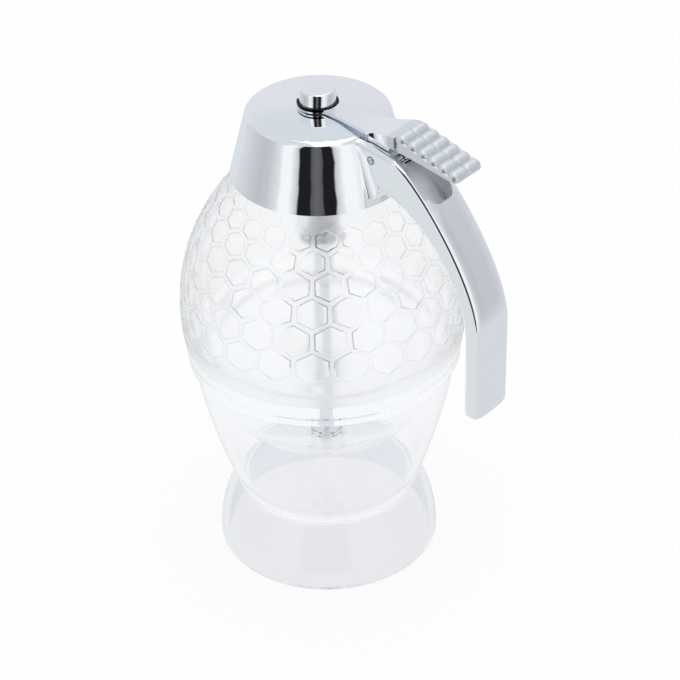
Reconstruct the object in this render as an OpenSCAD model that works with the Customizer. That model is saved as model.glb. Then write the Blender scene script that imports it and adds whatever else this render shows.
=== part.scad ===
// Honey dispenser: a clear beehive container with a lever-worked outlet, on its clear stand.
// The container's axis is Z, the floor is Z = 0 and the handle points to +X.

/* [Stand] */
// Outside radius of the foot at the floor
foot_r = 32.6; // [29:0.2:36]
// Outside radius of the groove between foot and cup
waist_r = 26.4; // [23:0.2:29]
// Height of that groove
waist_z = 19.4; // [15:0.2:23]
// How far the container's flange stands out over the cup's rim
rim_overhang = 1.3; // [0.8:0.1:2]
// Height of the rim, where the container rests
seat_z = 65; // [60:0.5:70]
// Wall of the cup and of the hollow foot
stand_wall = 2; // [1.4:0.1:2.6]
// Thickness of the floor between cup and foot
stand_floor = 2.6; // [2:0.1:4]
// Cove round the edge of that floor
floor_cove = 1.4; // [0.8:0.1:2]

/* [Hive shell] */
// Greatest outside radius of the hive
hive_r = 41; // [40:0.1:43]
// How far the hive bulges out beyond the flange under it
belly_bulge = 1.5; // [0.6:0.1:2.4]
// Height of the greatest radius above the seam
belly_rise = 13; // [11:0.5:16]
// Height of the shoulder above the seam
shoulder_rise = 56.6; // [52:0.2:60]
// Outside radius where the shoulder begins
shoulder_r = 23.3; // [22.6:0.1:23.6]
// Wall of the hive shell
shell_wall = 2; // [1.4:0.1:2.6]
// Outside radius of the neck
neck_r = 16.6; // [15.6:0.1:17.2]
// Height of the neck above the shoulder
neck_h = 14; // [11:0.5:15]

/* [Honeycomb] */
// Number of cells round the hive
cells_round = 24; // [20:1:28]
// Turn of the pattern from the handle's plane
cell_turn = -1.3; // [-7.5:0.1:7.5]
// Width of the lattice between the cells
lattice_w = 1.15; // [0.8:0.05:1.6]
// Depth of the cells in the wall
cell_depth = 0.35; // [0.25:0.05:0.6]
// Height of a cell against that of a regular hexagon
cell_stretch = 0.9; // [0.8:0.05:1]
// Distance from the shoulder down to the top row's centres
first_row_drop = 1.6; // [1:0.1:2.2]
// Height of the plain band between the seam and the cells
band_h = 9.6; // [8:0.2:12]

/* [Funnel] */
// Thickness of the funnel's flange, bonded under the hive shell
flange_h = 2.4; // [1.8:0.1:3.2]
// Height of the spigot that stands inside the hive shell
spigot_h = 6; // [4:0.5:8]
// Wall of the funnel
funnel_wall = 1.6; // [1.2:0.1:2]
// Gap between the bowl and the stand's rim
bowl_gap = 0.8; // [0.4:0.1:1.4]
// Outside radius where the bowl meets the outlet's cone
cone_r = 8.2; // [7.4:0.2:9.4]
// Height of that place above the tip
cone_rise = 7; // [6:0.5:9]
// Height of the outlet's tip above the floor
tip_z = 28; // [26:0.5:32]
// Radius of the outlet's bore
outlet_r = 2.4; // [2.2:0.1:2.8]
// Wall of the outlet's tip
tip_wall = 1; // [0.8:0.1:1.4]

/* [Cap] */
// Outside radius of the cap's lower rim
cap_rim_r = 24.9; // [24.4:0.1:25.6]
// Room between the screw ring and the cap's wall at the ceiling
liner_room = 0.55; // [0.3:0.05:1]
// Gap between the cap's rim and the shoulder
rim_gap = 0.4; // [0.3:0.1:0.8]
// Height of the cap from its rim to the top edge
cap_h = 19.2; // [18:0.2:21]
// Rise of the domed top above its edge
dome_rise = 1.1; // [0.8:0.1:2.2]
// Rounding of the top edge
cap_edge = 2.2; // [1.2:0.1:3]
// Wall of the cap
cap_wall = 1.6; // [1.2:0.1:1.8]
// Gap between the neck and the screw ring round it
thread_gap = 0.25; // [0.2:0.05:0.35]
// Wall of the screw ring inside the cap
liner_wall = 1.5; // [1.2:0.1:1.8]
// Height of the screw ring's lower end above the shoulder
liner_lift = 2; // [1:0.5:4]
// Thickness of the screw ring's top and of the neck gasket
liner_top = 1.8; // [1.4:0.1:2.2]

/* [Handle] */
// Width of the handle
handle_w = 14; // [12:0.2:16]
// Distance from the container's axis to the back of the grip
grip_reach = 61.1; // [58:0.1:66]
// Thickness of the grip, front to back
grip_t = 5.3; // [4.4:0.1:6.4]
// Height above the floor where the grip's back runs straight
grip_straight_z = 97; // [90:1:104]
// Depth of the handle where it leaves the cap
root_depth = 12.1; // [10.5:0.1:13]
// Height of the handle's gusset above the cap's rim
gusset_lift = 1; // [0.5:0.1:3]
// Height of the handle's lower end above the floor
grip_low_z = 69; // [62:1:80]
// Rounding of the handle's long edges
handle_edge = 1.4; // [0.8:0.1:2]
// Share of the back's width that its crown takes at each side
crown_share = 0.62; // [0.4:0.02:0.8]
// Width of the channel for the lever
channel_w = 10; // [8.4:0.2:10.6]
// Distance from the container's axis to the channel's outer end
channel_out = 44; // [40:0.5:48]

/* [Lever] */
// Distance from the container's axis to the pivot
pivot_x = 24.2; // [24:0.1:25]
// Radius of the pivot pin
pin_r = 1.2; // [1:0.05:1.4]
// Depth of the pivot below the cap's edge
pivot_drop = 4.6; // [4.2:0.1:5.4]
// Radius of the lever's eye around the pin
eye_r = 2.6; // [2.3:0.1:2.6]
// Width of the fork's slot for the plunger
fork_slot = 4.6; // [4.4:0.1:5.2]
// Thickness of the fork under the knob
fork_t = 1; // [0.8:0.1:1.2]
// Radius of the fork, from the plunger's axis to its tips
fork_reach = 5.8; // [5.6:0.1:6.6]
// Width of the arm next to the fork
arm_w = 6.6; // [5.6:0.2:7.6]
// Thickness of the arm over the cap
arm_t = 0.8; // [0.6:0.1:1.2]
// Width of the thumb paddle
paddle_w = 12; // [11:0.2:13]
// Distance from the container's axis to the paddle's inner end
paddle_in = 31.2; // [30:0.2:33]
// Distance from the container's axis to the paddle's tip
paddle_reach = 51.8; // [49:0.2:54]
// Height of the paddle's inner end above the cap's edge
paddle_rise = 4.2; // [3.6:0.1:5]
// Drop of the paddle along its length
paddle_drop = 6; // [5:0.1:7]
// Thickness of the paddle's tip
tip_t = 0.7; // [0.6:0.1:1.4]
// Number of ribs across the paddle
ribs = 6; // [4:1:7]
// Height of the ribs above the paddle
rib_h = 1.2; // [0.8:0.1:1.5]

/* [Plunger] */
// Radius of the plunger rod
rod_r = 2; // [1.8:0.05:2.1]
// Radius of the knob
knob_r = 5.1; // [4.8:0.1:5.6]
// Height of the knob
knob_h = 4; // [3:0.1:4.5]
// Wall of the sleeve that guides the rod
sleeve_wall = 1.45; // [1:0.05:1.6]
// Length of that sleeve below the cap's ceiling
sleeve_l = 11; // [8:0.5:14]
// Wire diameter of the return spring
wire_d = 0.9; // [0.7:0.05:1]
// Outside radius of the return spring
spring_r = 5.7; // [5.4:0.1:6]
// Number of curls of the return spring
curls = 13; // [10:1:15]
// Length of the return spring as fitted
spring_l = 36; // [32:0.5:38]
// Thickness of the washer under the spring
washer_t = 1; // [0.8:0.1:1.4]
// Thickness of the clip that holds the washer
clip_t = 0.7; // [0.5:0.05:0.9]
// Radius of the stud at the rod's lower end
stud_r = 1.1; // [0.9:0.05:1.2]
// Height of the stopper above its seat
stopper_h = 8; // [7:0.5:10]
// Height of the nut under the stopper
nut_h = 1.6; // [1.2:0.1:2]

/* [Clearances] */
// Gap between a rod or pin and its bore
running_gap = 0.05; // [0.02:0.01:0.1]
// Gap between pieces that move past each other
free_gap = 0.3; // [0.25:0.05:0.5]
// Gap between pieces that are bonded or pushed together
bond_gap = 0.1; // [0.04:0.02:0.15]

/* [Hidden] */
$fn = 96;
eps = 0.01;

// A cubic curve through its four control points, and its direction.
function cubic(p, t) = pow(1 - t, 3) * p[0] + 3 * pow(1 - t, 2) * t * p[1]
    + 3 * (1 - t) * t * t * p[2] + pow(t, 3) * p[3];
function heading(p, t) = 3 * pow(1 - t, 2) * (p[1] - p[0]) + 6 * (1 - t) * t * (p[2] - p[1])
    + 3 * t * t * (p[3] - p[2]);
// The curve as points, moved to the left of its heading by a wall.
function traced(p, steps, wall = 0) = [for (i = [0:steps])
    let (h = heading(p, i / steps)) cubic(p, i / steps) + wall * [-h[1], h[0]] / norm(h)];
function reversed(list) = [for (i = [len(list) - 1:-1:0]) list[i]];
// Points on an arc from one angle to another.
function arc(centre, r, a0, a1, steps) = [for (i = [0:steps])
    let (a = a0 + (a1 - a0) * i / steps) centre + r * [cos(a), sin(a)]];

// A curve between two points of a side view. Each handle leaves its end by a share of the span
// in X and in Z.
function bend(from, to, leave, arrive) = let (span = to - from)
    [from, from + [leave[0] * span[0], leave[1] * span[1]], to - [arrive[0] * span[0], arrive[1] * span[1]], to];

// The hive's greatest radius gives the flange under it, and the flange gives the stand's rim.
flange_r = hive_r - belly_bulge;
rim_r = flange_r - rim_overhang;

// Stand: the foot flares as a bell, the cup widens to the rim.
foot_curve = bend([foot_r, 0], [waist_r, waist_z], [0, 0.42], [0.68, 0.24]);
cup_curve = bend([waist_r, waist_z], [rim_r, seat_z], [0.47, 1 / 3], [0.15, 1 / 3]);

// Container heights.
seam_z = seat_z + flange_h;
belly_z = seam_z + belly_rise;
shoulder_z = seam_z + shoulder_rise;
neck_top_z = shoulder_z + neck_h;
neck_bore = neck_r - shell_wall;
belly_curve = bend([flange_r, seam_z], [hive_r, belly_z], [0.6, 1 / 3], [0, 1 / 3]);
crown_curve = bend([hive_r, belly_z], [shoulder_r, shoulder_z], [0, 0.47], [0.51, 0.27]);

// Honeycomb: the outer curve as heights and radii, and rows stepped down along it to the band.
outer_table = [for (p = concat(traced(belly_curve, 12), traced(crown_curve, 40))) [p[1], p[0]]];
lean_span = 0.4;
function hive_radius(z) = lookup(z, outer_table);
function hive_lean(z) = atan((hive_radius(z - lean_span / 2) - hive_radius(z + lean_span / 2)) / lean_span);
function cell_pitch(z) = 2 * hive_radius(z) * sin(180 / cells_round);
function row_step(z) = cell_pitch(z) * cos(30) * cell_stretch * cos(hive_lean(z));
function row_heights(z) = z < band_top_z - row_step(z) / 2 ? []
    : concat([z], row_heights(z - row_step(z - row_step(z) / 2)));
band_top_z = seam_z + band_h;
cell_zs = row_heights(shoulder_z - first_row_drop);

// Funnel: a bowl that runs into a cone at 45 degrees, the seat of the stopper.
spigot_r = flange_r - shell_wall - bond_gap;
bowl_r = rim_r - stand_wall - bowl_gap;
cone_z = tip_z + cone_rise;
bowl_curve = bend([bowl_r, seat_z], [cone_r, cone_z], [0.03, 0.5], [0.58, 0.22]);
bowl_inside = reversed(traced(bowl_curve, 14, -funnel_wall));
throat_top = bowl_inside[0];
throat_z = throat_top[1] - (throat_top[0] - outlet_r);
tip_r = outlet_r + tip_wall;

// Cap: the rim hangs just above the shoulder, and the cone leans in so far that it clears the
// screw ring under its ceiling.
cap_rim_z = shoulder_z + rim_gap;
cap_edge_z = cap_rim_z + cap_h;
ceiling_z = neck_top_z + 2 * liner_top;
liner_bore = neck_r + thread_gap;
liner_r = liner_bore + liner_wall;
liner_low_z = shoulder_z + liner_lift;
cavity_top_r = liner_r + liner_room;
cap_slope = (cap_rim_r - cap_wall - cavity_top_r) / (ceiling_z - cap_rim_z);
cap_lean = atan(cap_slope);
cap_top_r = cap_rim_r - cap_slope * cap_h;
top_flat_r = cap_top_r + cap_slope * cap_edge - cap_edge / cos(cap_lean);
apex_z = cap_edge_z + dome_rise;

// Handle: the back and front edges of its side view. Its root starts inside the cap's wall.
pivot_z = cap_edge_z - pivot_drop;
grip_in = grip_reach - grip_t;
gusset_z = cap_rim_z + gusset_lift;
root_x = cap_top_r - 2 * cap_wall;
cheek_drop = 1.9;
cheek_out = 6.1;
root_back = [cap_rim_r + cheek_out, cap_edge_z - cheek_drop];
root_front = [cap_rim_r + 0.54 * cheek_out, root_back[1] - root_depth];
roots = [[[root_x - 2, gusset_z], [root_x, cap_edge_z - 0.2]],
         [[cap_rim_r - cap_wall, gusset_z], [cap_rim_r - cap_wall, cap_edge_z - 0.5]]];
back_curve = bend(root_back, [grip_reach, grip_straight_z], [0.27, 0.05], [0, 0.35]);
front_curve = bend(root_front, [grip_in, grip_straight_z - 4], [0.355, 0.016], [0, 0.52]);
grip_end_round = grip_t / 3;

// Plunger stack, from the lever's fork upwards and from the ceiling downwards.
fork_low_z = apex_z + 0.2;
knob_z = fork_low_z + fork_t + 0.1;
knob_top_z = knob_z + knob_h;
rod_bore = rod_r + running_gap;
bush_flange_r = spring_r + wire_d;
bush_flange_z = ceiling_z - liner_top;
sleeve_r = rod_bore + sleeve_wall;
sleeve_low_z = bush_flange_z - sleeve_l;
bush_r = sleeve_r + 0.4;
washer_z = bush_flange_z - spring_l;
clip_z = washer_z - washer_t - clip_t - running_gap;
clip_groove_r = rod_r - 0.4;
stud_low_z = throat_z - nut_h - 0.2;
stopper_top_z = throat_z + stopper_h;

module ring_profile(points) {
    rotate_extrude(angle = 360) polygon(points);
}

module tube(r_out, r_in, low, high) {
    translate([0, 0, low]) difference() {
        cylinder(r = r_out, h = high - low);
        translate([0, 0, -eps]) cylinder(r = r_in, h = high - low + 2 * eps);
    }
}

// A solid cut to a side view (X across, Z up) with the given width along Y.
module side_plate(width) {
    translate([0, width / 2, 0]) rotate([90, 0, 0]) linear_extrude(width) children();
}

module stand() {
    floor_z = waist_z + floor_cove;
    foot_top_z = floor_z - stand_floor;
    hollow = [for (p = traced(foot_curve, 12, stand_wall)) if (p[1] >= 0 && p[1] < foot_top_z) p];
    bowl = [for (p = traced(cup_curve, 14, stand_wall)) if (p[1] > floor_z && p[1] < seat_z) p];
    color("lightcyan") ring_profile(concat(
        [[foot_r - stand_wall, 0]], traced(foot_curve, 12), traced(cup_curve, 14),
        [[rim_r - stand_wall, seat_z]], reversed(bowl), [[bowl[0][0] - floor_cove, floor_z], [0, floor_z]],
        [[0, foot_top_z], [hollow[len(hollow) - 1][0] - floor_cove, foot_top_z]], reversed(hollow)));
}

// One cell's cutter, square to the wall at the cell's centre and cut off level with the band.
module cell(z, turn) {
    corner_r = (cell_pitch(z) - lattice_w) / 2 / cos(30);
    low = min((z - band_top_z) / cos(hive_lean(z)), corner_r);
    hexagon = [for (k = [0:5]) corner_r * [cell_stretch * cos(60 * k), sin(60 * k)]];
    rotate([0, 0, turn]) translate([hive_radius(z), 0, z]) rotate([0, 90 - hive_lean(z), 0])
        translate([0, 0, -cell_depth]) linear_extrude(2 * shell_wall) intersection() {
            polygon(hexagon);
            translate([-corner_r - eps, -corner_r]) square([corner_r + low + eps, 2 * corner_r]);
        }
}

module hive_shell() {
    inside = concat(traced(belly_curve, 6, shell_wall), traced(crown_curve, 22, shell_wall));
    wall_inside = [for (p = inside) if (p[1] > seam_z && p[1] < shoulder_z - shell_wall / 4) p];
    color("aliceblue") difference() {
        ring_profile(concat(
            [[flange_r - shell_wall, seam_z]], traced(belly_curve, 6), traced(crown_curve, 22),
            [[neck_r, shoulder_z], [neck_r, neck_top_z], [neck_bore, neck_top_z],
             [neck_bore, shoulder_z - shell_wall]], reversed(wall_inside)));
        for (row = [0:len(cell_zs) - 1], k = [0:cells_round - 1])
            cell(cell_zs[row], cell_turn + (k + (row % 2 == 0 ? 0.5 : 0)) * 360 / cells_round);
    }
}

module funnel() {
    color("aliceblue") ring_profile(concat(
        [[tip_r, tip_z], [tip_r, cone_z - (cone_r - tip_r)]],
        reversed(traced(bowl_curve, 14)),
        [[flange_r, seat_z], [flange_r, seam_z], [spigot_r, seam_z], [spigot_r, seam_z + spigot_h],
         [spigot_r - funnel_wall, seam_z + spigot_h], [spigot_r - funnel_wall, seat_z + flange_h / 2]],
        reversed(bowl_inside),
        [[outlet_r, throat_z], [outlet_r, tip_z]]));
}

// A handle's cross-section in its own plane: the front has rounded corners, and the back is
// crowned by quarter ellipses that turn sharply at the sides and flatten towards the middle.
function section(half_t, half_w, edge) = [for (corner = [0:3])
    let (back = corner == 0 || corner == 3, sx = back ? 1 : -1, sy = corner < 2 ? 1 : -1,
         round_t = min(edge, 0.95 * half_t), round_w = back ? crown_share * half_w : round_t,
         turns = back ? 5 : 3)
    for (k = [0:turns]) let (a = 90 * corner + 90 * k / turns)
        [sx * (half_t - round_t) + round_t * cos(a), sy * (half_w - round_w) + round_w * sin(a)]];
// The section set between a point of the front edge and a point of the back edge.
function set_between(front, back, inset) =
    let (mid = (front + back) / 2, out = (back - front) / norm(back - front),
         half_t = norm(back - front) / 2 - inset, half_w = handle_w / 2 - inset)
    [for (q = section(half_t, half_w, handle_edge)) [mid[0] + out[0] * q[0], q[1], mid[1] + out[1] * q[0]]];

module handle_bar() {
    steps = 18;
    end_steps = 4;
    rings = concat(
        [for (root = roots) set_between(root[0], root[1], 0)],
        [for (i = [0:steps]) set_between(cubic(front_curve, i / steps), cubic(back_curve, i / steps), 0)],
        [for (k = [0:end_steps]) let (a = 90 * k / end_steps, z = grip_low_z + grip_end_round * (1 - sin(a)))
            set_between([grip_in, z], [grip_reach, z], grip_end_round * (1 - cos(a)) / 2)]);
    n = len(rings[0]);
    last = len(rings) - 1;
    polyhedron(
        [for (ring = rings) each ring],
        concat(
            [[for (j = [n - 1:-1:0]) j]],
            [for (i = [0:last - 1], j = [0:n - 1]) [i * n + j, (i + 1) * n + (j + 1) % n, (i + 1) * n + j]],
            [for (i = [0:last - 1], j = [0:n - 1]) [i * n + j, i * n + (j + 1) % n, (i + 1) * n + (j + 1) % n]],
            [[for (j = [0:n - 1]) last * n + j]]));
}

// The channel in the handle's back, with a round end, where the lever's web and paddle swing.
channel_in = pivot_x - eye_r - free_gap;
module lever_channel() {
    round_end = 0.3 * channel_w;
    floor_z = pivot_z - eye_r - free_gap;
    depth = 1.2 * root_depth;
    turn_x = pivot_x + eye_r + running_gap;
    floor_curve = bend([turn_x, floor_z], [channel_out, floor_z - root_depth], [0.4, 0], [0.3, 0.5]);
    intersection() {
        translate([0, 0, floor_z - depth]) linear_extrude(3 * depth) hull() {
            translate([channel_in, -channel_w / 2]) square([round_end, channel_w]);
            for (side = [-1, 1])
                translate([channel_out - round_end, side * (channel_w / 2 - round_end)]) circle(r = round_end, $fn = 32);
        }
        side_plate(channel_w + 2 * eps) polygon(concat([[channel_in, floor_z]], traced(floor_curve, 8),
            [[channel_out, floor_z + 2 * depth], [channel_in, floor_z + 2 * depth]]));
    }
}

// A bore through the cheeks or the lever's eye.
module pivot_bore(r) {
    translate([pivot_x, handle_w, pivot_z]) rotate([90, 0, 0]) cylinder(r = r, h = 2 * handle_w);
}

module cap() {
    cavity_low_r = cap_rim_r - cap_wall;
    dome_steps = 6;
    color("silver") difference() {
        union() {
            ring_profile(concat(
                [[0, cap_rim_z], [cap_rim_r, cap_rim_z]],
                arc([top_flat_r, cap_edge_z - cap_edge], cap_edge, cap_lean, 80, 6),
                [for (i = [dome_steps - 1:-1:0]) let (s = i / dome_steps)
                    [top_flat_r * s, cap_edge_z + dome_rise * (1 - s * s)]]));
            handle_bar();
        }
        ring_profile([[0, cap_rim_z - cap_wall], [cavity_low_r, cap_rim_z - cap_wall], [cavity_low_r, cap_rim_z],
                      [cavity_top_r, ceiling_z], [0, ceiling_z]]);
        translate([0, 0, ceiling_z - cap_wall]) cylinder(r = bush_r + bond_gap / 2, h = cap_h);
        lever_channel();
        pivot_bore(pin_r + running_gap / 2);
    }
}

module cap_liner() {
    color("whitesmoke") ring_profile([
        [liner_bore, liner_low_z], [liner_r, liner_low_z], [liner_r, ceiling_z],
        [bush_flange_r + bond_gap, ceiling_z], [bush_flange_r + bond_gap, ceiling_z - liner_top],
        [liner_bore, ceiling_z - liner_top]]);
}

module neck_gasket() {
    color("white") tube(neck_r - bond_gap, neck_bore + bond_gap, neck_top_z, ceiling_z - liner_top);
}

module guide_bush() {
    color("dimgray") ring_profile([
        [rod_bore, sleeve_low_z], [sleeve_r, sleeve_low_z], [sleeve_r, bush_flange_z],
        [bush_flange_r, bush_flange_z], [bush_flange_r, ceiling_z], [bush_r, ceiling_z],
        [bush_r, apex_z - bond_gap], [rod_bore, apex_z - bond_gap]]);
}

module pivot_pin() {
    color("gray") translate([pivot_x, handle_w / 2, pivot_z]) rotate([90, 0, 0])
        cylinder(r = pin_r, h = handle_w);
}

// The lever's side view: fork, arm and a paddle that thins towards its tip.
arm_top_z = fork_low_z + fork_t;
paddle_z = cap_edge_z + paddle_rise;
paddle_l = paddle_reach - paddle_in;
paddle_tilt = atan(paddle_drop / paddle_l);
tip_top_z = paddle_z - paddle_drop;
module lever_side() {
    under_curve = bend([pivot_x, fork_low_z - 0.2], [paddle_reach, tip_top_z - tip_t], [0.3, 0.05], [0.35, 0.5]);
    over_curve = bend([cap_top_r - 2, fork_low_z + arm_t], [paddle_in, paddle_z], [0.5, 0], [0.3, 0.1]);
    polygon(concat(
        [[fork_slot / 2, fork_low_z]], traced(under_curve, 10), [[paddle_reach, tip_top_z]],
        reversed(traced(over_curve, 8)),
        [[cap_top_r / 2, fork_low_z + arm_t], [fork_reach + 1, arm_top_z], [fork_slot / 2, arm_top_z]]));
}

// Its outline from above: narrow next to the fork, widest at the paddle.
module lever_plan() {
    corner = 1.6;
    polygon([[fork_slot / 2, -arm_w / 2], [cap_top_r / 2, -arm_w / 2], [paddle_in, -paddle_w / 2],
             [paddle_in, paddle_w / 2], [cap_top_r / 2, arm_w / 2], [fork_slot / 2, arm_w / 2]]);
    hull() for (x = [paddle_in + corner, paddle_reach - corner], side = [-1, 1])
        translate([x, side * (paddle_w / 2 - corner)]) circle(r = corner, $fn = 32);
}

// One rib of the paddle: two bricks with round ends, sunk so far that the next rib meets them.
rib_pitch = paddle_l / cos(paddle_tilt) / ribs;
module rib() {
    half_chord = 0.52 * rib_pitch;
    brick_r = (rib_h * rib_h + half_chord * half_chord) / 2 / rib_h;
    inner_y = 0.3 * rib_pitch;
    brick_l = paddle_w / 2 - half_chord - inner_y;
    for (side = [-1, 1]) translate([0, side * inner_y, rib_h - brick_r]) {
        rotate([-90 * side, 0, 0]) cylinder(r = brick_r, h = brick_l, $fn = 48);
        for (end = [0, brick_l]) translate([0, side * end, 0]) sphere(r = brick_r, $fn = 48);
    }
}

module lever() {
    web_w = channel_w - 2 * free_gap;
    web_x = pivot_x + eye_r;
    web_top_z = fork_low_z + arm_t / 2;
    color("lightgray") difference() {
        union() {
            intersection() {
                side_plate(paddle_w + 2 * eps) lever_side();
                translate([0, 0, pivot_z]) linear_extrude(2 * pivot_drop + 2 * paddle_rise) lever_plan();
            }
            translate([0, 0, fork_low_z]) linear_extrude(fork_t) difference() {
                circle(r = fork_reach);
                translate([-fork_reach - 1, -fork_slot / 2]) square([fork_reach + 1, fork_slot]);
                circle(d = fork_slot);
            }
            side_plate(web_w) {
                translate([pivot_x, pivot_z]) circle(r = eye_r);
                polygon([[pivot_x - eye_r, pivot_z], [web_x, pivot_z], [web_x + eye_r, web_top_z - arm_t],
                         [web_x, web_top_z], [pivot_x - eye_r, web_top_z]]);
            }
            translate([paddle_in, 0, paddle_z]) rotate([0, paddle_tilt, 0]) intersection() {
                for (i = [0:ribs - 1]) translate([(i + 0.5) * rib_pitch, 0, 0]) rib();
                translate([-rib_pitch, -paddle_w, -tip_t / 2]) cube([2 * paddle_l, 2 * paddle_w, 2 * rib_h]);
            }
        }
        pivot_bore(pin_r + running_gap);
    }
}

rod_end_z = knob_z + 0.7 * knob_h;
module knob() {
    edge = 0.6;
    bore = rod_r + running_gap / 2;
    color("silver") ring_profile(concat(
        [[bore, knob_z], [knob_r - edge / 2, knob_z], [knob_r, knob_z + edge / 2]],
        arc([knob_r - edge, knob_top_z - edge], edge, 0, 90, 5),
        [[0, knob_top_z], [0, rod_end_z], [bore, rod_end_z]]));
}

module rod() {
    groove_low_z = clip_z - running_gap;
    groove_high_z = clip_z + clip_t + running_gap;
    color("lightslategray") ring_profile([
        [0, stud_low_z], [stud_r, stud_low_z], [stud_r, stopper_top_z], [rod_r, stopper_top_z],
        [rod_r, groove_low_z], [clip_groove_r, groove_low_z], [clip_groove_r, groove_high_z],
        [rod_r, groove_high_z], [rod_r, rod_end_z], [0, rod_end_z]]);
}

// Return spring: one wire wound round the sleeve, each end turned square into its seat.
wire_r = wire_d / 2;
coil_r = spring_r - wire_r;
rings_per_curl = 8;
coil_low_z = washer_z + 1.5 * wire_d;
coil_high_z = bush_flange_z - 1.5 * wire_d;
function coil_point(i) = let (a = 360 * i / rings_per_curl, s = i / (rings_per_curl * curls))
    [coil_r * cos(a), coil_r * sin(a), coil_low_z + (coil_high_z - coil_low_z) * s];
coil_last = rings_per_curl * curls;
spring_path = concat(
    [[coil_r, 0, washer_z], [coil_r, 0, washer_z + wire_d]],
    [for (i = [1:coil_last - 1]) coil_point(i)],
    [[coil_r, 0, bush_flange_z - wire_d], [coil_r, 0, bush_flange_z]]);
function path_heading(i) =
    i == 0 || i == len(spring_path) - 1 ? [0, 0, 1]
    : let (d = spring_path[i + 1] - spring_path[i - 1]) d / norm(d);
function wire_ring(i) =
    let (h = path_heading(i), c = spring_path[i], out = [c[0], c[1], 0] / norm([c[0], c[1]]),
         side = out - (out * h) * h, e1 = side / norm(side), e2 = cross(h, e1))
    [for (k = [0:5]) c + wire_r * (cos(60 * k) * e1 + sin(60 * k) * e2)];

module spring() {
    rings = [for (i = [0:len(spring_path) - 1]) wire_ring(i)];
    n = 6;
    last = len(rings) - 1;
    color("darkgray") polyhedron(
        [for (ring = rings) each ring],
        concat(
            [for (j = [1:n - 2]) [0, j + 1, j]],
            [for (i = [0:last - 1], j = [0:n - 1]) [i * n + j, i * n + (j + 1) % n, (i + 1) * n + (j + 1) % n]],
            [for (i = [0:last - 1], j = [0:n - 1]) [i * n + j, (i + 1) * n + (j + 1) % n, (i + 1) * n + j]],
            [for (j = [1:n - 2]) [last * n, last * n + j, last * n + j + 1]]));
}
spring_gap = min([for (i = [0:len(spring_path) - 1], j = [i + rings_per_curl - 2:len(spring_path) - 1])
    norm(spring_path[i] - spring_path[j])]) - wire_d;
echo(spring_least_gap_mm = spring_gap);

module spring_washer() {
    color("lightgray") tube(bush_flange_r, rod_bore, washer_z - washer_t, washer_z);
}

module retaining_clip() {
    clip_r = 1.8 * rod_r;
    mouth = 1.6 * clip_groove_r;
    color("gray") difference() {
        tube(clip_r, clip_groove_r + running_gap, clip_z, clip_z + clip_t);
        translate([-2 * clip_r, -mouth / 2, clip_z - clip_t]) cube([2 * clip_r, mouth, 3 * clip_t]);
    }
}

// The stopper's cone lies along the throat's, which also leans at 45 degrees.
stud_bore = stud_r + running_gap / 2;
module stopper() {
    cone_h = 0.32 * stopper_h;
    low_r = outlet_r - bond_gap * sqrt(2);
    shank_r = 1.5 * rod_r;
    color("gainsboro") ring_profile([
        [stud_bore, throat_z], [low_r, throat_z], [low_r + cone_h, throat_z + cone_h],
        [low_r + cone_h, throat_z + 1.6 * cone_h], [shank_r, stopper_top_z - cone_h / 2],
        [shank_r, stopper_top_z], [stud_bore, stopper_top_z]]);
}

module stopper_nut() {
    color("gray") tube((stud_r + outlet_r) / 2 + bond_gap, stud_bore, throat_z - nut_h, throat_z);
}

stand();
hive_shell();
funnel();
cap();
cap_liner();
neck_gasket();
guide_bush();
pivot_pin();
lever();
knob();
rod();
spring();
spring_washer();
retaining_clip();
stopper();
stopper_nut();
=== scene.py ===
import math

import bpy
from mathutils import Matrix, Vector


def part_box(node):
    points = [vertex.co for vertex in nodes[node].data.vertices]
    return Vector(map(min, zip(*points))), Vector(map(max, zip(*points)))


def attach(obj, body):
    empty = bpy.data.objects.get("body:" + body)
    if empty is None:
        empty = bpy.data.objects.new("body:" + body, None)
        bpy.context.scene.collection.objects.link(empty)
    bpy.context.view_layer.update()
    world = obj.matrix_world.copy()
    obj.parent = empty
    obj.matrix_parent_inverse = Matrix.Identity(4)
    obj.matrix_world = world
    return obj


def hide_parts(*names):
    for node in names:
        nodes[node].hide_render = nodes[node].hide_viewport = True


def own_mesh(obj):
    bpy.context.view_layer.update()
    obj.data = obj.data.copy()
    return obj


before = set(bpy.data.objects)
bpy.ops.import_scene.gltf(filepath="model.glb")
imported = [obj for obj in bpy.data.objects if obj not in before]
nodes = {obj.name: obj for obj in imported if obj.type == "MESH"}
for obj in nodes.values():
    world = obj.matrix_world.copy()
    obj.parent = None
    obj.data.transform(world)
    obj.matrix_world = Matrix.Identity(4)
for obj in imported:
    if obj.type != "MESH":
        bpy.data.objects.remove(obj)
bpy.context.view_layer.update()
scene = bpy.context.scene
mm = 0.001

# The camera stands in front of the table, towards the handle's side, and looks down on the
# dispenser. It is turned a little about its own line of sight.
camera_place = Vector((0.3823, -0.4398, 0.46915))
camera_turn = math.radians(40.55)
camera_height = math.radians(34.63)
camera_tilt = math.radians(-1.31)
camera_data = bpy.data.cameras.new("table_camera")
camera_data.lens = 129.27
camera_data.sensor_width = 36
camera = bpy.data.objects.new("table_camera", camera_data)
scene.collection.objects.link(camera)
level = math.cos(camera_height)
backwards = Vector((math.sin(camera_turn) * level, -math.cos(camera_turn) * level, math.sin(camera_height)))
level_right = (-backwards).cross(Vector((0, 0, 1))).normalized()
level_up = level_right.cross(-backwards)
camera_right = math.cos(camera_tilt) * level_right + math.sin(camera_tilt) * level_up
camera_up = camera_right.cross(-backwards)
axes = Matrix((camera_right, camera_up, backwards)).transposed()
camera.matrix_world = Matrix.Translation(camera_place) @ axes.to_4x4()
scene.camera = camera
scene.view_settings.view_transform = "Standard"

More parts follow.
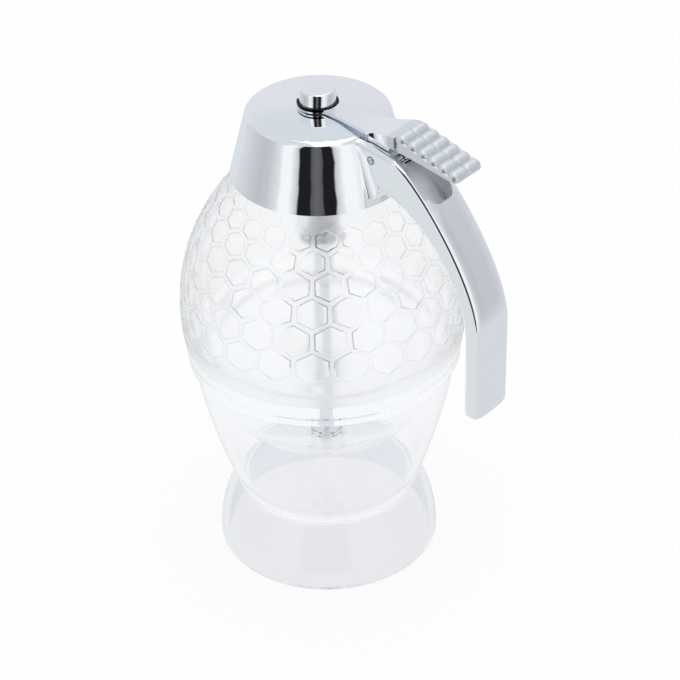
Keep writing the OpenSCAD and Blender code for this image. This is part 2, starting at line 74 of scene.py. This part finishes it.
# Light bends through up to a dozen walls of clear plastic here, so its paths may be long.
longest_path = 128
scene.cycles.max_bounces = longest_path
scene.cycles.transmission_bounces = longest_path
scene.cycles.glossy_bounces = longest_path

# The floor is a sheet of white table paper. The camera sees it almost white, and a tenth of what
# it shows is its real shading, which keeps the object's shadow.
paper_reach = 0.9
paper_tone = (0.98, 0.98, 0.98, 1)
shadow_share = 0.1


def fill(node, *feeds, **entries):
    """Gives a node its inputs in order, then its settings and inputs by name, as values or outputs."""
    for place, value in (*enumerate(feeds), *entries.items()):
        if place in node.bl_rna.properties.keys():
            setattr(node, place, value)
            continue
        entry = node.inputs[place.replace("_", " ") if isinstance(place, str) else place]
        if isinstance(value, bpy.types.NodeSocket):
            node.id_data.links.new(value, entry)
        else:
            entry.default_value = value


def shader(tree, kind, *feeds, **entries):
    """A new node in a tree, filled with what it is given."""
    made = tree.nodes.new("ShaderNode" + kind)
    fill(made, *feeds, **entries)
    return made


def worked_out(tree, operation, *values, **settings):
    """The result of one operation on outputs and plain numbers."""
    return shader(tree, "Math", *values, operation=operation, **settings).outputs[0]


bpy.ops.object.select_all(action="DESELECT")
bpy.ops.mesh.primitive_circle_add(vertices=96, radius=paper_reach, fill_type="NGON", location=(0, 0, 0))
paper = bpy.context.object
paper.name = "table_paper"
paper_finish = bpy.data.materials.new("table_paper")
paper_finish.use_nodes = True
tree = paper_finish.node_tree
tree.nodes.clear()
place = shader(tree, "TexCoord").outputs["Object"]
fibres = shader(tree, "TexNoise", Vector=place, Scale=900.0, Detail=4.0)
tooth = shader(tree, "Bump", Strength=0.02, Distance=0.2 * mm, Height=fibres.outputs["Fac"])
shaded = shader(tree, "BsdfDiffuse", Color=paper_tone, Normal=tooth.outputs["Normal"])
bright = shader(tree, "Emission", Color=(1, 1, 1, 1), Strength=1.0)
ray = shader(tree, "LightPath").outputs
looked_at = worked_out(tree, "MAXIMUM", ray["Is Camera Ray"], ray["Is Transmission Ray"])
bright_share = worked_out(tree, "MULTIPLY", looked_at, 1 - shadow_share)
surface = shader(tree, "MixShader", bright_share, shaded.outputs[0], bright.outputs[0])
shader(tree, "OutputMaterial", Surface=surface.outputs[0])
paper.data.materials.append(paper_finish)
paper.visible_glossy = False

# The studio is a tent of white cloth with a tall dark opening in front, a lamp box in its grey roof
# and grey-blue table paper below. Only polished surfaces mirror it: the opening is the dark band in
# them, and the lamp box gives white edges. All other light is an even white.
opening_turn = -3.5
opening_side, cloth_side = 46, 50
opening_low, opening_top = -0.44, 0.83
opening_by_degree = ((0, 0.14), (7, 0.1), (8.5, 0.014), (23, 0.014),
                     (25, 0.6), (29, 0.75), (36, 1.0), (46, 1.0))
cloth_by_degree = ((0, 1.0), (46, 1.0), (57, 0.76), (70, 0.6),
                   (82, 0.56), (98, 0.62), (118, 0.7), (180, 0.8))
roof_start, roof_full = 0.46, 0.56
roof_tone = (0.70, 0.745, 0.80, 1)
paper_start, paper_full = -0.2, -0.45
paper_left, paper_right = -0.1, 0.1
paper_left_tone = (0.735, 0.775, 0.80, 1)
paper_right_tone = (0.70, 0.73, 0.77, 1)
lamp_left, lamp_right = -0.1, 0.38
lamp_near, lamp_far = -0.52, 0.70
lamp_low, lamp_full = 0.2, 0.25
lamp_tone = (1.3, 1.3, 1.3, 1)
cloth_tint = (0.965, 0.985, 1.04)
edge_blur = 0.01
tent = bpy.data.worlds.new("white_tent")
scene.world = tent
tent.use_nodes = True
tree = tent.node_tree
tree.nodes.clear()


def between(tree, value, low, high, start=0.0, end=1.0):
    """Runs from start to end while the value runs from low to high."""
    made = shader(tree, "MapRange", Value=value, From_Min=low, From_Max=high, To_Min=start, To_Max=end)
    return made.outputs[0]


def mixed(tree, share, first, second, **settings):
    """A colour between two, with that share of the second."""
    made = shader(tree, "Mix", data_type="RGBA", Factor=share, A=first, B=second, **settings)
    return made.outputs["Result"]


def banded(tree, value, bands):
    """A colour that follows a value from 0 to 1 through pairs of a place and its colour."""
    made = shader(tree, "ValToRGB", value)
    stops = made.color_ramp.elements
    for number, (place, colour) in enumerate(bands):
        stop = stops[number] if number < 2 else stops.new(place)
        stop.position = place
        stop.color = colour
    return made.outputs["Color"]


def cloth_shades(tree, half_turns, by_degree):
    """Slightly cool tones of white cloth by the degrees from the front round to the back."""
    bands = []
    for degree, tone in by_degree:
        colour = [min(tone * tint, 1) for tint in cloth_tint]
        bands.append((degree / 180, (*colour, 1)))
    return banded(tree, half_turns, bands)


def half_turns_of(tree, angle):
    """How far round an angle lies to either side, where 0 is the front and 1 is the back."""
    return worked_out(tree, "DIVIDE", worked_out(tree, "ABSOLUTE", angle), math.pi)


def along(tree, direction, heading):
    """How far a direction points along a heading, where 1 is exactly that way."""
    return shader(tree, "VectorMath", direction, heading, operation="DOT_PRODUCT").outputs["Value"]


direction = shader(tree, "TexCoord").outputs["Generated"]
split = shader(tree, "SeparateXYZ", direction).outputs
height = split["Z"]
bearing = worked_out(tree, "ARCTAN2", split["Y"], split["X"])
from_camera = worked_out(tree, "ADD", bearing, math.pi / 2 - camera_turn)
from_opening = worked_out(tree, "SUBTRACT", from_camera, math.radians(opening_turn))
cloth = cloth_shades(tree, half_turns_of(tree, from_camera), cloth_by_degree)
opening_place = half_turns_of(tree, from_opening)
opening = cloth_shades(tree, opening_place, opening_by_degree)
past_side = between(tree, opening_place, opening_side / 180, cloth_side / 180)
above_top = between(tree, height, opening_top - edge_blur, opening_top + edge_blur)
below_sill = between(tree, height, opening_low + edge_blur, opening_low - edge_blur)
outside = worked_out(tree, "MAXIMUM", past_side, worked_out(tree, "MAXIMUM", below_sill, above_top))
walls = mixed(tree, outside, opening, cloth)
roof_share = worked_out(tree, "MULTIPLY", between(tree, height, roof_start, roof_full), outside)
roofed = mixed(tree, roof_share, walls, roof_tone)
aside = along(tree, direction, (math.cos(camera_turn), math.sin(camera_turn), 0))
away = along(tree, direction, (-math.sin(camera_turn), math.cos(camera_turn), 0))
paper_side = between(tree, aside, paper_left, paper_right)
paper_mirrored = mixed(tree, paper_side, paper_left_tone, paper_right_tone)
paper_share = worked_out(tree, "MULTIPLY", between(tree, height, paper_start, paper_full), outside)
floored = mixed(tree, paper_share, roofed, paper_mirrored)
lamp_share = between(tree, height, lamp_low, lamp_full)
for way, first_edge, last_edge in ((aside, lamp_left, lamp_right), (away, lamp_near, lamp_far)):
    past_first = between(tree, way, first_edge - edge_blur, first_edge + edge_blur)
    before_last = between(tree, way, last_edge + edge_blur, last_edge - edge_blur)
    within = worked_out(tree, "MINIMUM", past_first, before_last)
    lamp_share = worked_out(tree, "MINIMUM", lamp_share, within)
lit = mixed(tree, lamp_share, floored, lamp_tone)
ray = shader(tree, "LightPath").outputs
mirrored = worked_out(tree, "SUBTRACT", ray["Is Glossy Ray"], ray["Is Transmission Ray"], use_clamp=True)
light = shader(tree, "Background", Color=mixed(tree, mirrored, (1, 1, 1, 1), lit), Strength=1.0)
shader(tree, "OutputWorld", Surface=light.outputs[0])

# The stand is one moulding of clear acrylic: a bell-shaped foot, hollow below, and a cup above it
# whose rim carries the container. It stands on the table by its own weight.
cup_tones = ((0.972, 0.976, 0.988), (0.984, 0.987, 0.996))
foot_painted_shade = (0.865, 0.872, 0.905, 1)
waist_low, waist_high = 18 * mm, 22 * mm
rim_gap = 0.15 * mm
weld_distance = 0.001 * mm
plane_slack = 0.01 * mm
hair_start, hair_full = 0.62, 0.72


def merged(name, sharp):
    """The CAD node's own shape as one welded mesh, with rounds shaded smooth up to an angle."""
    bpy.ops.object.select_all(action="DESELECT")
    nodes[name].select_set(True)
    bpy.context.view_layer.objects.active = nodes[name]
    bpy.ops.object.duplicate()
    piece = bpy.context.object
    piece.name = name + "_smooth"
    piece.data.name = piece.name
    bpy.ops.mesh.customdata_custom_splitnormals_clear()
    bpy.ops.object.mode_set(mode="EDIT")
    bpy.ops.mesh.select_all(action="SELECT")
    bpy.ops.mesh.remove_doubles(threshold=weld_distance)
    bpy.ops.object.mode_set(mode="OBJECT")
    bpy.ops.object.shade_smooth_by_angle(angle=math.radians(sharp))
    piece.data.materials.clear()
    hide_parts(name)
    return piece


def select_none(kind):
    """Leaves nothing of the active mesh selected, ready for picking its points or faces."""
    bpy.ops.object.mode_set(mode="EDIT")
    bpy.ops.mesh.select_mode(type=kind)
    bpy.ops.mesh.select_all(action="DESELECT")
    bpy.ops.object.mode_set(mode="OBJECT")


def skin_group():
    """Slow waves left by moulding, and hair-fine scratches from wiping, as one height."""
    group = bpy.data.node_groups.new("moulded_skin", "ShaderNodeTree")
    for name in ("Wave Size", "Scratch"):
        group.interface.new_socket(name, in_out="INPUT", socket_type="NodeSocketFloat")
    for name in ("Height", "Haze", "Cloud"):
        group.interface.new_socket(name, in_out="OUTPUT", socket_type="NodeSocketFloat")
    given = group.nodes.new("NodeGroupInput").outputs
    place = shader(group, "TexCoord").outputs["Object"]
    wave = shader(group, "TexNoise", Vector=place, Scale=given["Wave Size"], Detail=2.0, Roughness=0.4)
    stretched = shader(group, "Mapping", Vector=place, Rotation=(0.5, 0.3, 0.2), Scale=(1, 1, 0.12))
    hairs = shader(group, "TexNoise", Vector=stretched.outputs[0], Scale=2600.0, Detail=3.0)
    scratches = between(group, hairs.outputs["Fac"], hair_start, hair_full)
    grooves = worked_out(group, "MULTIPLY", scratches, given["Scratch"])
    height = worked_out(group, "SUBTRACT", wave.outputs["Fac"], grooves)
    result = group.nodes.new("NodeGroupOutput")
    fill(result, Height=height, Haze=scratches, Cloud=wave.outputs["Fac"])
    return group


moulded_skin = skin_group()


def finish(name, tones, gloss, wave_size, scratch, depth, **plain):
    """A material whose bump, roughness and two near tones follow the moulded skin."""
    made = bpy.data.materials.new(name)
    made.use_nodes = True
    tree = made.node_tree
    skin = shader(tree, "Group", node_tree=moulded_skin, Wave_Size=wave_size, Scratch=scratch)
    bump = shader(tree, "Bump", Strength=1.0, Distance=depth, Height=skin.outputs["Height"])
    roughness = between(tree, skin.outputs["Haze"], 0.0, 1.0, *gloss)
    tone = mixed(tree, skin.outputs["Cloud"], (*tones[0], 1), (*tones[1], 1))
    tone.node.name = "tone"
    fill(tree.nodes["Principled BSDF"],
         Base_Color=tone, Roughness=roughness, Normal=bump.outputs["Normal"], **plain)
    return made


clear_body = {"Transmission_Weight": 1.0, "IOR": 1.49}
acrylic_skin = {"wave_size": 45.0, "scratch": 0.003, "depth": 0.12 * mm, **clear_body}
stand_acrylic = finish("stand_acrylic", cup_tones, gloss=(0.0, 0.05), **acrylic_skin)
tree = stand_acrylic.node_tree
place = shader(tree, "TexCoord").outputs["Object"]
height = shader(tree, "SeparateXYZ", place).outputs["Z"]
# Painted shade: below the waist the foot is tinted greyer than the cup.
cup_share = between(tree, height, waist_low, waist_high)
tone_with_painted_foot_shade = mixed(tree, cup_share, foot_painted_shade, tree.nodes["tone"].outputs["Result"])
fill(tree.nodes["Principled BSDF"], Base_Color=tone_with_painted_foot_shade)
stand = merged("stand", sharp=35)
rim_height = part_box("stand")[1][2]
select_none("VERT")
for point in stand.data.vertices:
    point.select = point.co[2] > rim_height - plane_slack
# The rim's face is lowered by a hair, because two clear faces in one plane would look black.
bpy.ops.object.mode_set(mode="EDIT")
bpy.ops.transform.translate(value=(0, 0, -rim_gap))
bpy.ops.object.mode_set(mode="OBJECT")
stand.data.materials.append(stand_acrylic)
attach(stand, "stand_body")

# The container is the funnel, whose flange rests on the stand's rim, and the hive shell, solvent
# bonded on top of it. Both are clear acrylic. At the bond they are one wall, without faces inside.
clear_tones = ((0.987, 0.993, 1.0), (0.994, 0.998, 1.0))
bond_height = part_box("hive_shell")[0][2]
square_on = 0.99


def without_bond(piece, height):
    """Takes away the level faces at the height of the bonded joint."""
    for face in piece.data.polygons:
        face.select = abs(face.center[2] - height) < plane_slack and abs(face.normal[2]) > square_on
    bpy.ops.object.mode_set(mode="EDIT")
    bpy.ops.mesh.delete(type="FACE")
    bpy.ops.object.mode_set(mode="OBJECT")


clear_acrylic = finish("clear_acrylic", clear_tones, gloss=(0.0, 0.05), **acrylic_skin)
funnel = merged("funnel", sharp=35)
select_none("FACE")
without_bond(funnel, bond_height)
funnel.data.materials.append(clear_acrylic)
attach(funnel, "container")

# Each cell moulded into the hive has a slightly raised floor inside a narrow sloping border. Floors
# and ribs are lightly frosted. The borders and steep walls are tinted grey as painted shade and mirror
# more, which draws the honeycomb, and they show only at first sight, so that those of the far side
# don't crowd it.
border_width = 0.35 * mm
border_rise = 0.09 * mm
floor_tones = ((0.99, 0.995, 1.0), (0.996, 1.0, 1.0))
painted_outline_tones = ((0.96, 0.965, 0.975), (0.98, 0.983, 0.99))
edge_mirror = 0.4
floor_frost = (0.2, 0.25)
rib_frost = (0.28, 0.33)
steep_share = 0.3
largest_cell = 150 * mm * mm
ribs_low = bond_height + 4 * mm
ribs_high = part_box("hive_shell")[1][2] - 11 * mm
cell_floor = finish("cell_floor", floor_tones, gloss=floor_frost, **acrylic_skin)
cell_rib = finish("cell_rib", clear_tones, gloss=rib_frost, **acrylic_skin)
# Painted shade: the borders and steep walls get a greyer tone than the clear acrylic.
painted_outline_edge = finish("painted_outline_edge", painted_outline_tones, gloss=(0.02, 0.1), wave_size=45.0, scratch=0.02,
                   depth=0.02 * mm, Metallic=edge_mirror, **clear_body)
tree = painted_outline_edge.node_tree
ray = shader(tree, "LightPath").outputs
later = worked_out(tree, "MAXIMUM", ray["Is Transmission Ray"], ray["Is Glossy Ray"])
fill(tree.nodes["Principled BSDF"], Alpha=worked_out(tree, "SUBTRACT", 1.0, later))
hive = merged("hive_shell", sharp=35)
plain_wall, edge, floor, rib = range(4)
for made in (clear_acrylic, painted_outline_edge, cell_floor, cell_rib):
    hive.data.materials.append(made)
select_none("FACE")
without_bond(hive, bond_height)
patch = list(range(len(hive.data.vertices)))


def patch_of(point):
    """The point that stands for all that this one is joined to by faces other than steep walls."""
    while patch[point] != point:
        patch[point] = patch[patch[point]]
        point = patch[point]
    return point


def is_steep(face):
    """Whether a face turns away sideways from the hive's axis, as the walls of the cells do."""
    sideways = face.normal[1] * face.center[0] - face.normal[0] * face.center[1]
    return abs(sideways) > steep_share * math.hypot(face.center[0], face.center[1])


def is_rib(face):
    """Whether a face is on the outside of the hive, at the height of the honeycomb."""
    outwards = face.normal[0] * face.center[0] + face.normal[1] * face.center[1]
    return outwards > 0 and ribs_low < face.center[2] < ribs_high


steep = [is_steep(face) for face in hive.data.polygons]
for face in hive.data.polygons:
    if not steep[face.index]:
        first = patch_of(face.vertices[0])
        for point in face.vertices[1:]:
            patch[patch_of(point)] = first
patch_area = {}
for face in hive.data.polygons:
    if not steep[face.index]:
        root = patch_of(face.vertices[0])
        patch_area[root] = patch_area.get(root, 0) + face.area
for face in hive.data.polygons:
    small = not steep[face.index] and patch_area[patch_of(face.vertices[0])] < largest_cell
    gentle = floor if small else rib if is_rib(face) else plain_wall
    face.material_index = edge if steep[face.index] else gentle
    face.select = small
bpy.ops.object.mode_set(mode="EDIT")
bpy.ops.mesh.inset(thickness=border_width, depth=border_rise, use_boundary=True)
bpy.ops.object.mode_set(mode="OBJECT")
for face in hive.data.polygons:
    if face.material_index == floor and not face.select:
        face.material_index = edge
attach(hive, "container")

# The stopper is a cone of faintly milky silicone that closes the outlet from above. A small steel
# nut on the rod's stud holds it.
silicone_tones = ((0.93, 0.935, 0.945), (0.965, 0.97, 0.975))
steel_tones = ((0.72, 0.73, 0.76), (0.84, 0.85, 0.87))
steel_skin = {"scratch": 0.3, "depth": 0.004 * mm, "Metallic": 1.0}


def dressed(made, *names):
    """Puts a finish on the CAD nodes whose own shape is right."""
    for name in names:
        nodes[name].data.materials.clear()
        nodes[name].data.materials.append(made)


silicone = finish("milky_silicone", silicone_tones, gloss=(0.12, 0.2), wave_size=260.0, scratch=0.01,
                  depth=0.03 * mm, Transmission_Weight=0.95, IOR=1.41)
steel = finish("polished_steel", steel_tones, gloss=(0.05, 0.2), wave_size=420.0, **steel_skin)
dressed(silicone, "stopper")
dressed(steel, "stopper_nut")

# The rod is polished stainless steel. It carries the stopper below and the knob above, and a clip
# in its groove holds the washer that the spring pushes on.
dressed(steel, "rod", "retaining_clip", "spring_washer")

# The return spring is one stainless wire wound between the washer and the guide bush. Its first
# and last turns lie closed.
wire_radius = 0.45 * mm
turn_radius = 5.25 * mm
closed_pitch = 0.96 * mm
open_turns = 11
wire_sides = 12
turn_steps = 32
join_distance = 0.01 * mm
spring_low, spring_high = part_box("spring")[0][2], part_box("spring")[1][2]
free_length = spring_high - spring_low
open_pitch = (free_length - 2 * wire_radius - 2 * closed_pitch) / open_turns
stretches = ((spring_low + wire_radius, closed_pitch, 1),
             (spring_low + wire_radius + closed_pitch, open_pitch, open_turns),
             (spring_high - wire_radius - closed_pitch, closed_pitch, 1))
wires = []
for start, pitch, turns in stretches:
    bpy.ops.object.select_all(action="DESELECT")
    bpy.ops.mesh.primitive_circle_add(vertices=wire_sides, radius=wire_radius,
                                      location=(turn_radius, 0, start), rotation=(math.pi / 2, 0, 0))
    bpy.ops.object.transform_apply(location=True, rotation=True)
    bpy.ops.object.modifier_add(type="SCREW")
    winding = bpy.context.object.modifiers[-1]
    winding.screw_offset = pitch
    winding.iterations = turns
    winding.steps = turn_steps
    winding.render_steps = turn_steps
    bpy.ops.object.modifier_apply(modifier=winding.name)
    wires.append(bpy.context.object)
bpy.ops.object.select_all(action="DESELECT")
for wire in wires:
    wire.select_set(True)
bpy.ops.object.join()
spring = bpy.context.object
spring.name = "return_spring"
spring.data.name = spring.name
bpy.ops.object.mode_set(mode="EDIT")
bpy.ops.mesh.select_all(action="SELECT")
bpy.ops.mesh.remove_doubles(threshold=join_distance)
bpy.ops.mesh.fill_holes(sides=0)
bpy.ops.mesh.select_all(action="SELECT")
bpy.ops.mesh.normals_make_consistent(inside=False)
bpy.ops.object.mode_set(mode="OBJECT")
bpy.ops.object.shade_smooth_by_angle(angle=math.radians(50))
spring.data.materials.append(steel)
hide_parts("spring")
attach(spring, "cap_unit")
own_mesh(spring)

# The cap and its handle are one ABS moulding with a chrome plate, which is dull in the handle's
# channel. Inside sit a white screw liner, the bush that guides the rod, and a silicone ring that
# seals on the container's neck.
plate_tones = ((0.915, 0.925, 0.94), (0.94, 0.95, 0.96))
plate_skin = {"wave_size": 220.0, "scratch": 0.02, "depth": 0.006 * mm, "Metallic": 1.0}
white_tones = ((0.78, 0.79, 0.79), (0.88, 0.88, 0.87))
channel_half, channel_near, channel_end = 4.95 * mm, 29 * mm, 44.1 * mm
least_upwards = -0.2
chrome = finish("chrome_plate", plate_tones, gloss=(0.03, 0.12), **plate_skin)
channel_satin = finish("channel_satin", plate_tones, gloss=(0.5, 0.6), **plate_skin)
white_plastic = finish("white_plastic", white_tones, gloss=(0.32, 0.5),
                       wave_size=180.0, scratch=0.1, depth=0.02 * mm)
dressed(white_plastic, "cap_liner", "guide_bush")
dressed(silicone, "neck_gasket")


def plated(name, finishes, sharp):
    """A welded copy of a chrome piece, shaded so that large faces keep their own direction."""
    piece = merged(name, sharp)
    for made in finishes:
        piece.data.materials.append(made)
    bpy.ops.object.modifier_add(type="WEIGHTED_NORMAL")
    piece.modifiers[-1].keep_sharp = True
    bpy.ops.object.modifier_apply(modifier=piece.modifiers[-1].name)
    return piece


cap = plated("cap", (chrome, channel_satin), sharp=50)
for face in cap.data.polygons:
    across, along_handle = abs(face.center[1]), face.center[0]
    in_channel = across < channel_half and channel_near < along_handle < channel_end
    face.material_index = 1 if in_channel and face.normal[2] > least_upwards else 0
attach(cap, "cap_unit")

# The pivot pin is a turned steel pin through both cheeks of the handle. Painted shade darkens a ring
# at each end's chamfer and the small centre hole.
pin_radius = 1.2 * mm
chamfer = 0.15 * mm
dimple_radius = 0.55 * mm
dimple_depth = 0.3 * mm
dimple_lip = 0.02 * mm
edge_round = 0.08 * mm
turned_tones = ((0.85, 0.86, 0.87), (0.93, 0.935, 0.94))
painted_shade_ring_tones = ((0.0, 0.45), (0.3, 0.5), (0.38, 1.0), (0.68, 1.0), (0.76, 0.22), (1.0, 0.3))
pin_low, pin_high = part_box("pivot_pin")
pin_middle = [(low + high) / 2 for low, high in zip(pin_low, pin_high)]
bpy.ops.object.select_all(action="DESELECT")
bpy.ops.mesh.primitive_cylinder_add(vertices=48, radius=pin_radius, depth=pin_high[1] - pin_low[1],
                                    location=pin_middle, rotation=(math.pi / 2, 0, 0))
pin = bpy.context.object
pin.name = "turned_pin"
pin.data.name = pin.name
bpy.ops.object.transform_apply(location=True, rotation=True)
for face in pin.data.polygons:
    face.select = abs(face.normal[1]) > square_on
bpy.ops.object.mode_set(mode="EDIT")
bpy.ops.mesh.select_mode(type="FACE")
bpy.ops.mesh.inset(thickness=pin_radius - chamfer - dimple_radius, depth=0, use_individual=True)
bpy.ops.mesh.inset(thickness=dimple_lip, depth=-dimple_depth / 2, use_individual=True)
bpy.ops.mesh.inset(thickness=dimple_radius / 2, depth=-dimple_depth / 2, use_individual=True)
bpy.ops.object.mode_set(mode="OBJECT")
bpy.ops.object.modifier_add(type="BEVEL")
pin.modifiers[-1].width = edge_round
pin.modifiers[-1].segments = 3
pin.modifiers[-1].angle_limit = math.radians(40)
bpy.ops.object.modifier_apply(modifier=pin.modifiers[-1].name)
bpy.ops.object.shade_smooth_by_angle(angle=math.radians(35))
turned_steel = finish("turned_steel", turned_tones, gloss=(0.1, 0.2), wave_size=500.0, **steel_skin)
tree = turned_steel.node_tree


def reach_from(tree, middle, scale):
    """The distance from a point in the piece's own space, with a scale for each axis."""
    place = shader(tree, "TexCoord").outputs["Object"]
    from_middle = shader(tree, "VectorMath", place, middle, operation="SUBTRACT")
    scaled = shader(tree, "VectorMath", from_middle.outputs[0], scale, operation="MULTIPLY")
    return shader(tree, "VectorMath", scaled.outputs[0], operation="LENGTH").outputs["Value"]


# Painted shade: the bands darken the end's chamfer ring and its centre hole.
from_axis = reach_from(tree, pin_middle, (1 / pin_radius, 0, 1 / pin_radius))
painted_shade_rings = banded(tree, from_axis, [(place, (tone, tone, tone, 1)) for place, tone in painted_shade_ring_tones])
tone = tree.nodes["tone"].outputs["Result"]
fill(tree.nodes["Principled BSDF"], Base_Color=mixed(tree, 1.0, tone, painted_shade_rings, blend_type="MULTIPLY"))
pin.data.materials.append(turned_steel)
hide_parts("pivot_pin")
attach(pin, "cap_unit")

# The lever is a chrome-plated moulding like the cap. The rim of its fork round the knob is painted
# near black, as painted shade in the narrow gap there, and the ribbed thumb paddle has a greyer satin skin.
fork_inside, fork_outside = 5.0 * mm, 5.95 * mm
fork_low, fork_top = 145.35 * mm, 146.0 * mm
painted_rim_blur = 0.05 * mm
painted_shade_rim_tone = (0.012, 0.012, 0.014, 1)
paddle_start = 29 * mm
paddle_satin = 0.42
paddle_tone = (0.78, 0.80, 0.82, 1)
lever_chrome = finish("lever_chrome", plate_tones, gloss=(0.03, 0.12), **plate_skin)
tree = lever_chrome.node_tree
surface = tree.nodes["Principled BSDF"]
place = shader(tree, "TexCoord").outputs["Object"]
split = shader(tree, "SeparateXYZ", place).outputs
from_axis = reach_from(tree, (0, 0, 0), (1, 1, 0))
past_inside = between(tree, from_axis, fork_inside - painted_rim_blur, fork_inside)
within_outside = between(tree, from_axis, fork_outside, fork_outside - painted_rim_blur)
above_low = between(tree, split["Z"], fork_low - painted_rim_blur, fork_low)
below_top = between(tree, split["Z"], fork_top, fork_top - painted_rim_blur)
# Painted shade: the fork's rim is made near black.
painted_shade_rim = worked_out(tree, "MULTIPLY",
                 worked_out(tree, "MULTIPLY", past_inside, within_outside),
                 worked_out(tree, "MULTIPLY", above_low, below_top))
paddle = between(tree, split["X"], paddle_start - mm, paddle_start)
greyer = mixed(tree, paddle, tree.nodes["tone"].outputs["Result"], paddle_tone)
satin = worked_out(tree, "MULTIPLY", paddle, paddle_satin)
gloss = surface.inputs["Roughness"].links[0].from_socket
fill(surface,
     Base_Color=mixed(tree, painted_shade_rim, greyer, painted_shade_rim_tone), Roughness=worked_out(tree, "MAXIMUM", gloss, satin))
lever = plated("lever", (lever_chrome,), sharp=40)
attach(lever, "lever_body")

# The knob is a chrome-plated button on the rod's top end. The lever's fork reaches round its neck
# and lifts it.
knob = plated("knob", (chrome,), sharp=40)
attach(knob, "plunger")
